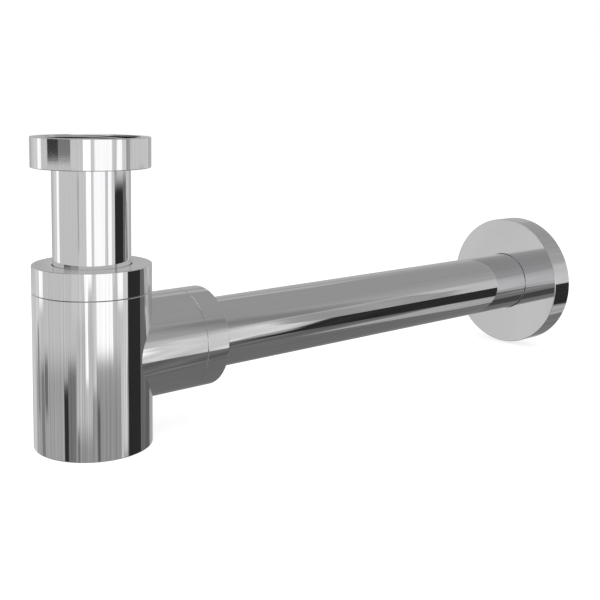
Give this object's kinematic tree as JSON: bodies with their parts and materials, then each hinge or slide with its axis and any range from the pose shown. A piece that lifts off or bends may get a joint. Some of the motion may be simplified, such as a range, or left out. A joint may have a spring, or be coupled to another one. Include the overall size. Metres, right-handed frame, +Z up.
{
  "type": "washbasin bottle trap",
  "caption": "Round bottle trap for a washbasin: coupling nut, dip tube, cup-shaped body with a side branch, wall tube and flat round rosette.",
  "frame": {"origin": "centre of the coupling nut's upper opening, where the basin waste screws in", "axes": "+Z up along the inlet tube, +Y along the wall tube towards the wall, +X completes a right-handed frame"},
  "size_m": [0.0734, 0.3135, 0.1285],
  "materials": {
    "chrome_body": "mirror chrome plate on brass",
    "chrome_tube": "mirror chrome plate on drawn brass",
    "chrome_nut": "mirror chrome plate on turned brass",
    "chrome_rosette": "flat mirror chrome",
    "plain_brass": "bare turned brass",
    "black_rubber": "matte moulded rubber",
    "white_plastic": "matte white plastic",
    "grey_plastic": "matte grey plastic"
  },
  "bodies": {
    "trap": {"trap_body": "chrome_body"},
    "top_seal": {"top_cone_seal": "black_rubber"},
    "inlet_pipe": {"inlet_tube": "chrome_tube", "inlet_washer": "black_rubber"},
    "coupling": {"inlet_nut": "chrome_nut"},
    "top_ring": {"top_slip_ring": "white_plastic"},
    "top_clamp": {"top_nut": "chrome_nut"},
    "outlet_seal": {"outlet_cone_seal": "black_rubber"},
    "wall_pipe": {"wall_tube": "chrome_tube"},
    "outlet_ring": {"outlet_slip_ring": "white_plastic"},
    "outlet_clamp": {"outlet_nut": "chrome_nut"},
    "rosette_grip": {"rosette_grip_ring": "black_rubber"},
    "rosette": {"wall_rosette": "chrome_rosette"},
    "foot_seal": {"base_o_ring": "black_rubber"},
    "foot": {"base_plug": "chrome_nut", "seal_cup": "grey_plastic"}
  },
  "joints": [
    {"name": "inlet_swivel", "type": "hinge", "parent": "trap", "child": "top_seal", "pos_m": [0, 0, -0.06], "axis": [0, 0, 1], "continuous": true},
    {"name": "inlet_height", "type": "slide", "parent": "top_seal", "child": "inlet_pipe", "axis": [0, 0, 1], "range_m": [-0.005, 0.025]},
    {"name": "inlet_nut_turn", "type": "hinge", "parent": "inlet_pipe", "child": "coupling", "pos_m": [0, 0, -0.006], "axis": [0, 0, 1], "continuous": true},
    {"name": "top_nut_travel", "type": "slide", "parent": "trap", "child": "top_ring", "axis": [0, 0, 1], "range_m": [0, 0.006]},
    {"name": "top_nut_turn", "type": "hinge", "parent": "top_ring", "child": "top_clamp", "pos_m": [0, 0, -0.058], "axis": [0, 0, 1], "range_deg": [0, 1440]},
    {"name": "outlet_swivel", "type": "hinge", "parent": "trap", "child": "outlet_seal", "pos_m": [0, 0.047, -0.0905], "axis": [0, 1, 0], "continuous": true},
    {"name": "wall_tube_depth", "type": "slide", "parent": "outlet_seal", "child": "wall_pipe", "axis": [0, 1, 0], "range_m": [-0.006, 0.01]},
    {"name": "outlet_nut_travel", "type": "slide", "parent": "trap", "child": "outlet_ring", "axis": [0, 1, 0], "range_m": [0, 0.006]},
    {"name": "outlet_nut_turn", "type": "hinge", "parent": "outlet_ring", "child": "outlet_clamp", "pos_m": [0, 0.05, -0.0905], "axis": [0, 1, 0], "range_deg": [0, 1440]},
    {"name": "rosette_slide", "type": "slide", "parent": "wall_pipe", "child": "rosette_grip", "axis": [0, 1, 0], "range_m": [-0.2, 0]},
    {"name": "rosette_turn", "type": "hinge", "parent": "rosette_grip", "child": "rosette", "pos_m": [0, 0.282, -0.0905], "axis": [0, 1, 0], "continuous": true},
    {"name": "foot_plug_travel", "type": "slide", "parent": "trap", "child": "foot_seal", "axis": [0, 0, -1], "range_m": [0, 0.009]},
    {"name": "foot_plug_turn", "type": "hinge", "parent": "foot_seal", "child": "foot", "pos_m": [0, 0, -0.124], "axis": [0, 0, -1], "range_deg": [0, 2160]}
  ],
  "couplings": [
    {"joint": "top_nut_travel", "follows": "top_nut_turn", "m_per_rad": 0.00023873},
    {"joint": "outlet_nut_travel", "follows": "outlet_nut_turn", "m_per_rad": 0.00023873},
    {"joint": "foot_plug_travel", "follows": "foot_plug_turn", "m_per_rad": 0.00023873}
  ]
}
